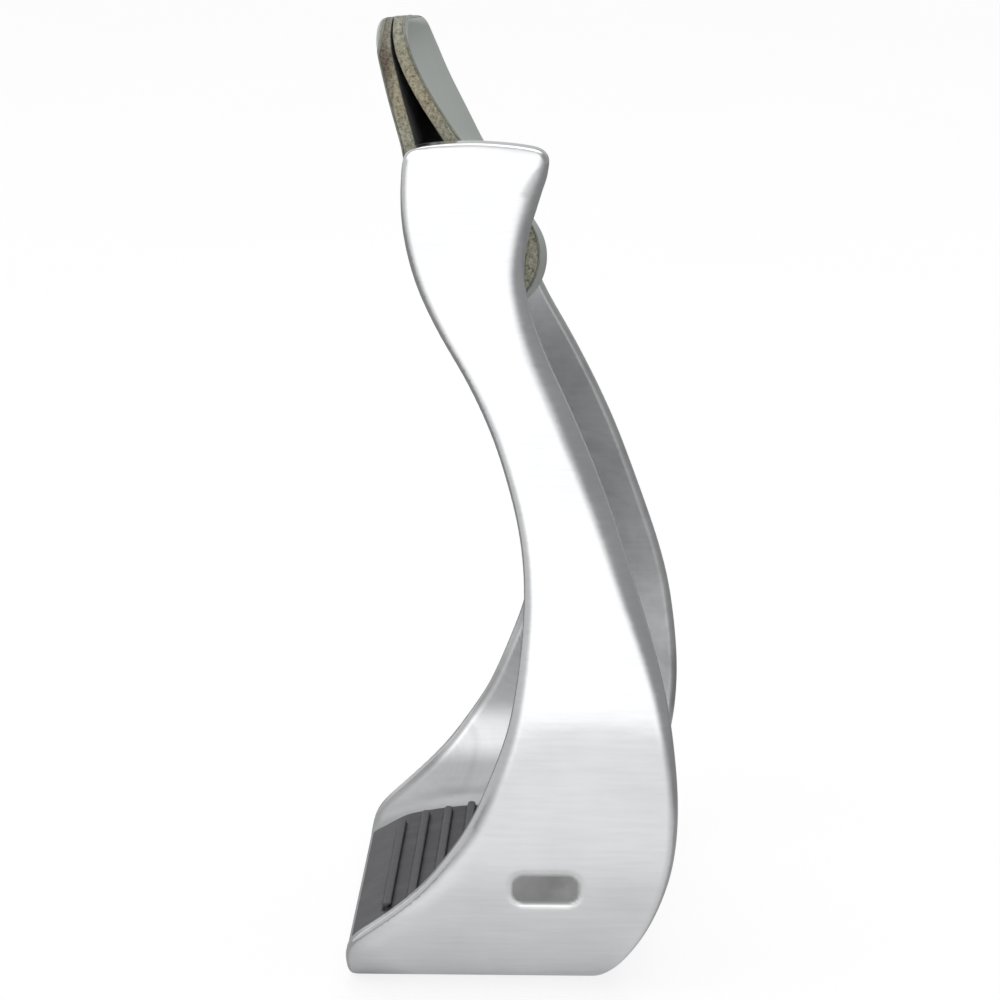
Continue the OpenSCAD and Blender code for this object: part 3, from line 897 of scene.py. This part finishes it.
def nylon():
    m, nt, b = new_material("natural_nylon")
    n1 = noise(nt, coords(nt), 300, 4, 0.6)
    nt.links.new(ramp(nt, n1, [(0.3, (0.70, 0.67, 0.58)), (0.7, (0.80, 0.78, 0.70))]), b.inputs["Base Color"])
    nt.links.new(ramp(nt, n1, [(0.3, grey(0.38)), (0.7, grey(0.5))]), b.inputs["Roughness"])
    b.inputs["Subsurface Weight"].default_value = 0.15
    b.inputs["Subsurface Radius"].default_value = (0.001, 0.0009, 0.0007)
    bump(nt, b, n1, 0.1, 0.0001)
    return m


def paint(ob, mat):
    ob.data.materials.clear()
    ob.data.materials.append(mat)


M_AL = polished_aluminium()
paint(casting, M_AL)
paint(pad, rubber())
paint(core, leather_core_mat())
paint(face, leather_face_mat())

# painted shade: dark lines where the ribs stand on the pad, and a darker pad floor between the ribs
pm = pad.data
pv = np.empty(len(pm.vertices) * 3, np.float32)
pm.vertices.foreach_get("co", pv)
pv = pv.reshape(-1, 3) * 1000
painted_rib_shade = np.zeros(len(pv))
for i in range(RIB_N):
    rx = RIB_X + (i - (RIB_N - 1) / 2) * RIB_PITCH
    half = RIB_HALF[min(i, RIB_N - 1 - i, 3)] - RIB_W / 2
    d = np.hypot(pv[:, 0] - rx, np.maximum(np.abs(pv[:, 1]) - half, 0)) - RIB_W / 2
    rise = pv[:, 2] - crown(pv[:, 0]) - pad_lift(pv[:, 0])
    painted_rib_shade = np.maximum(painted_rib_shade, smoothstep((0.50 - np.abs(d - 0.02)) / 0.4) * smoothstep((1.15 - rise) / 0.6))
floor_rise = pv[:, 2] - crown(pv[:, 0]) - pad_lift(pv[:, 0])
painted_rib_shade = np.maximum(painted_rib_shade, 0.32 * smoothstep((pv[:, 0] + 29.0) / 3.0) * smoothstep((0.5 - floor_rise) / 0.4))
pm.attributes.new("painted_rib_shade", "FLOAT", "POINT").data.foreach_set("value", painted_rib_shade.astype(np.float32))

cm = casting.data
vv = np.empty(len(cm.vertices) * 3, np.float32)
cm.vertices.foreach_get("co", vv)
vv = vv.reshape(-1, 3) * 1000
raw = np.where(vv[:, 1] < -20, smoothstep((-0.3 - panel2d(vv[:, 0], vv[:, 2])) / 0.7), 0.0)
inner = smoothstep((2.4 - T_IN(vv[:, 1].astype(float), vv[:, 2].astype(float))) / 1.8)
raw = raw * (1.0 - inner)      # only the outer face carries the recess
cm.attributes.new("inner", "FLOAT", "POINT").data.foreach_set("value", inner.astype(np.float32))
# painted shade: inner faces darkened below about 27 mm and from 31 to 54 mm high, leaving a painted highlight band
# between
painted_shade_in = inner * np.maximum(smoothstep((27.5 - vv[:, 2]) / 6.0),
                            0.95 * smoothstep((vv[:, 2] - 31.0) / 6.0) * smoothstep((54.0 - vv[:, 2]) / 16.0))
cm.attributes.new("painted_shade_inside", "FLOAT", "POINT").data.foreach_set("value", painted_shade_in.astype(np.float32))
cm.attributes.new("as_cast", "FLOAT", "POINT").data.foreach_set("value", raw.astype(np.float32))

# the flesh side of the core: every point on its inner surface
me = core.data
at = me.attributes.new("flesh", "FLOAT", "POINT")
nb_ = 620 * 70
w = np.zeros(len(me.vertices), np.float32)
w[:nb_] = 1.0
at.data.foreach_set("value", w)

bolt_mat = steel("bolt_steel", (0.62, 0.63, 0.66), 0.28, (1, 0.2, 1))
for n, mat in (("neck_bolt", bolt_mat), ("bolt_washer", steel("washer_steel", (0.70, 0.71, 0.73), 0.32)),
               ("roller_sleeve", steel("roller_steel", (0.58, 0.60, 0.62), 0.35, (0.2, 1, 1))),
               ("roller_bush_outer", nylon()), ("roller_bush_inner", nylon()),
               ("pad_inserts", steel("insert_brass", (0.72, 0.55, 0.27), 0.3)),
               ("pad_screws", steel("screw_zinc", (0.50, 0.51, 0.53), 0.38))):
    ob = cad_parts[n]
    ob.data.materials.clear()
    ob.data.materials.append(mat)
    bev = ob.modifiers.new("edges", "BEVEL")
    bev.width = 0.00025 if n != "pad_screws" else 0.00015
    bev.segments = 2
    bev.limit_method = "ANGLE"
    bev.angle_limit = math.radians(40)
    bev.harden_normals = False

# ---------------------------------------------------------------- studio
def plane(name, size, loc):
    me = bpy.data.meshes.new(name)
    s = size / 2
    me.from_pydata([(-s, -s, 0), (s, -s, 0), (s, s, 0), (-s, s, 0)], [], [(0, 1, 2, 3)])
    ob = bpy.data.objects.new(name, me)
    scene.collection.objects.link(ob)
    ob.location = loc
    return ob


floor = plane("floor", 14.0, (0, 3.0, 0))
fm, fnt, fb = new_material("pale_floor")
fn = noise(fnt, coords(fnt), 8, 3, 0.5)
pale = ramp(fnt, fn, [(0.3, grey(0.90)), (0.7, grey(0.92))])
fsep = fnt.nodes.new("ShaderNodeSeparateXYZ")
fnt.links.new(coords(fnt), fsep.inputs[0])
fx = fsep.outputs[0]
fy = math_node(fnt, "ADD", fsep.outputs[1], 3.0)
dist = math_node(fnt, "SQRT", math_node(fnt, "ADD", math_node(fnt, "ADD", math_node(fnt, "MULTIPLY", fx, fx), math_node(fnt, "MULTIPLY", fy, fy)), 1e-5))
fahead = math_node(fnt, "MULTIPLY", math_node(fnt, "DIVIDE", fy, dist), -1.0)
# painted reflection: rays other than the camera's see the floor in a darker tone painted by direction and distance,
# lighter in a lane towards the viewer
lane = ramp(fnt, fahead, [(0.72, grey(0.0)), (0.90, grey(1.0))])
near_ = ramp(fnt, dist, [(0.060, grey(0.84)), (0.085, grey(0.83)), (0.115, grey(0.96)), (0.17, grey(1.0)), (0.5, grey(1.0))])
painted_floor_reflection = mix(fnt, lane, ramp(fnt, dist, [(0.07, grey(0.42)), (0.25, grey(0.28))]), near_)
flp = fnt.nodes.new("ShaderNodeLightPath")
fnt.links.new(mix(fnt, flp.outputs["Is Camera Ray"], painted_floor_reflection, pale), fb.inputs["Base Color"])
fb.inputs["Roughness"].default_value = 0.6
fb.inputs["Specular IOR Level"].default_value = 0.1
fem = fnt.nodes.new("ShaderNodeEmission")
fem.inputs["Strength"].default_value = 1.13
fmx = fnt.nodes.new("ShaderNodeMixShader")
seen = flp.outputs["Is Camera Ray"]
# painted light: the floor glows, mostly to the camera, and to other rays in its painted reflection tone
fnt.links.new(math_node(fnt, "ADD", math_node(fnt, "MULTIPLY", seen, 0.50), 0.22), fmx.inputs[0])
glow = mix(fnt, seen, mix(fnt, 1.0, painted_floor_reflection, grey(0.95), "MULTIPLY"), grey(1.0))
fnt.links.new(glow, fem.inputs["Color"])
fnt.links.new(fb.outputs["BSDF"], fmx.inputs[1])
fnt.links.new(fem.outputs[0], fmx.inputs[2])
fout = [n for n in fnt.nodes if n.type == "OUTPUT_MATERIAL"][0]
fnt.links.new(fmx.outputs[0], fout.inputs["Surface"])
floor.data.materials.append(fm)

world = bpy.data.worlds.new("studio")
scene.world = world
world.use_nodes = True
wt = world.node_tree
wt.nodes.clear()
wo = wt.nodes.new("ShaderNodeOutputWorld")
bg = wt.nodes.new("ShaderNodeBackground")
wt.links.new(bg.outputs[0], wo.inputs[0])
tc = wt.nodes.new("ShaderNodeTexCoord")
sep = wt.nodes.new("ShaderNodeSeparateXYZ")
wt.links.new(tc.outputs["Generated"], sep.inputs[0])
X, Y, Z = sep.outputs


def wmath(op, a, b=None, c=None, clamp=False):
    n = wt.nodes.new("ShaderNodeMath")
    n.operation = op
    n.use_clamp = clamp
    for i, v in enumerate((a, b, c)):
        if v is None:
            continue
        if isinstance(v, (int, float)):
            n.inputs[i].default_value = v
        else:
            wt.links.new(v, n.inputs[i])
    return n.outputs[0]


def wstep(v, lo, hi):
    n = wt.nodes.new("ShaderNodeMapRange")
    n.interpolation_type = "SMOOTHSTEP"
    if lo > hi:
        n.inputs["To Min"].default_value, n.inputs["To Max"].default_value = 1.0, 0.0
        lo, hi = hi, lo
    n.inputs["From Min"].default_value = lo
    n.inputs["From Max"].default_value = hi
    wt.links.new(v, n.inputs["Value"])
    return n.outputs[0]


flat = wmath("SQRT", wmath("MAXIMUM", wmath("ADD", wmath("MULTIPLY", X, X), wmath("MULTIPLY", Y, Y)), 1e-5))
ahead = wmath("DIVIDE", wmath("MULTIPLY", Y, -1.0), flat)   # 1 towards the viewer, -1 behind the object
across = wmath("DIVIDE", X, flat)
front = wstep(ahead, 0.74, 0.93)
right = wstep(across, -0.3, 0.3)
rim = wstep(wmath("MULTIPLY", ahead, -1.0), 0.66, 0.80)
up = wstep(Z, 0.70, 0.95)
level = wmath("MULTIPLY_ADD", right, -0.27, 0.55)           # the left side is the lighter one
level = wmath("ADD", wmath("MULTIPLY", level, wmath("MULTIPLY_ADD", front, -1.0, 1.0)), wmath("MULTIPLY", front, 1.22))
level = wmath("MULTIPLY_ADD", rim, 0.15, level)
level = wmath("ADD", wmath("MULTIPLY", level, wmath("MULTIPLY_ADD", up, -1.0, 1.0)), wmath("MULTIPLY", up, 0.62))
cam_ray = wt.nodes.new("ShaderNodeLightPath").outputs["Is Camera Ray"]
mixn = wt.nodes.new("ShaderNodeMix")
mixn.data_type = "FLOAT"
wt.links.new(cam_ray, mixn.inputs[0])
wt.links.new(level, mixn.inputs[2])
mixn.inputs[3].default_value = 1.02
wt.links.new(mixn.outputs[0], bg.inputs["Strength"])
bg.inputs["Color"].default_value = (1, 1, 1, 1)


def area(name, loc, target, size, power, sy=None):
    d = bpy.data.lights.new(name, "AREA")
    d.energy = power
    d.size = size
    if sy:
        d.shape = "RECTANGLE"
        d.size_y = sy
    ob = bpy.data.objects.new(name, d)
    scene.collection.objects.link(ob)
    ob.location = loc
    ob.rotation_mode = "QUATERNION"
    ob.rotation_quaternion = (Vector(target) - Vector(loc)).to_track_quat("-Z", "Y")
    return ob


area("key", (-0.9, -1.0, 1.3), (0, 0, 0.08), 1.0, 2.5)
area("top", (0.2, 0.4, 1.6), (0, 0, 0.05), 1.2, 4)

bpy.context.view_layer.update()
